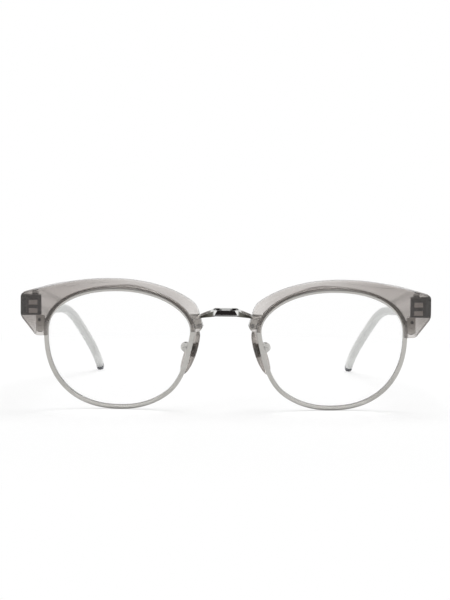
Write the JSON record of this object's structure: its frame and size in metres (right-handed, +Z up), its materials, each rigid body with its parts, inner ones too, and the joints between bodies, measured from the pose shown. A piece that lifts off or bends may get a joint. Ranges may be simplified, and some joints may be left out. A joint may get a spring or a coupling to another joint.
{
  "type": "browline eyeglasses",
  "caption": "Browline eyeglasses: moulded translucent brows on a metal chassis with clear oval lenses, rocking nose pads and folding curved temples.",
  "frame": {"origin": "On the table, under the middle of the width and of the length with the temples open; the rims and the ends of the temples stand on Z = 0.", "axes": "+X towards the wearer's left, +Y from the lenses back along the open temples, +Z up. The front faces -Y."},
  "size_m": [0.1418, 0.1429, 0.0455],
  "materials": {
    "brow_plastic": "frosted translucent grey acetate",
    "temple_plastic": "satin light grey acetate",
    "end_plastic": "polished dark grey acetate",
    "rim_metal": "satin silver plated",
    "bridge_metal": "polished silver plated",
    "hinge_metal": "stamped nickel silver",
    "screw_steel": "turned steel",
    "insert_metal": "dull stamped metal",
    "core_steel": "drawn wire",
    "lens": "clear optical plastic",
    "pad_silicone": "clear silicone"
  },
  "bodies": {
    "front": {"bridge": "bridge_metal", "rim_left": "rim_metal", "rim_right": "rim_metal", "lens_left": "lens", "lens_right": "lens", "rim_lock_upper_left": "rim_metal", "rim_lock_upper_right": "rim_metal", "rim_lock_lower_left": "rim_metal", "rim_lock_lower_right": "rim_metal", "rim_screw_left": "screw_steel", "rim_screw_right": "screw_steel", "brow_left": "brow_plastic", "brow_right": "brow_plastic", "brow_tab_left": "rim_metal", "brow_tab_right": "rim_metal", "brow_screw_outer_left": "screw_steel", "brow_screw_outer_right": "screw_steel", "brow_screw_inner_left": "screw_steel", "brow_screw_inner_right": "screw_steel", "pad_arm_left": "rim_metal", "pad_arm_right": "rim_metal", "pad_screw_left": "screw_steel", "pad_screw_right": "screw_steel", "front_hinge_left": "hinge_metal", "front_hinge_right": "hinge_metal", "hinge_screw_left": "screw_steel", "hinge_screw_right": "screw_steel"},
    "temple_left": {"temple_hinge_left": "hinge_metal", "temple_left": "temple_plastic", "core_wire_left": "core_steel", "temple_end_left": "end_plastic"},
    "temple_right": {"temple_hinge_right": "hinge_metal", "temple_right": "temple_plastic", "core_wire_right": "core_steel", "temple_end_right": "end_plastic"},
    "nose_pad_left": {"nose_pad_left": "pad_silicone", "pad_insert_left": "insert_metal"},
    "nose_pad_right": {"nose_pad_right": "pad_silicone", "pad_insert_right": "insert_metal"}
  },
  "joints": [
    {"name": "temple_left_hinge", "type": "hinge", "parent": "front", "child": "temple_left", "pos_m": [0.06541, -0.05915, 0.03607], "axis": [0, -0.0872, 0.9962], "range_deg": [0, 84]},
    {"name": "temple_right_hinge", "type": "hinge", "parent": "front", "child": "temple_right", "pos_m": [-0.06541, -0.05915, 0.03607], "axis": [0, 0.0872, -0.9962], "range_deg": [0, 78]},
    {"name": "nose_pad_left_rock", "type": "hinge", "parent": "front", "child": "nose_pad_left", "pos_m": [0.0139, -0.05939, 0.02139], "axis": [0.3672, 0.9054, 0.2134], "range_deg": [-10, 10]},
    {"name": "nose_pad_right_rock", "type": "hinge", "parent": "front", "child": "nose_pad_right", "pos_m": [-0.0139, -0.05939, 0.02139], "axis": [0.3672, -0.9054, -0.2134], "range_deg": [-10, 10]}
  ]
}
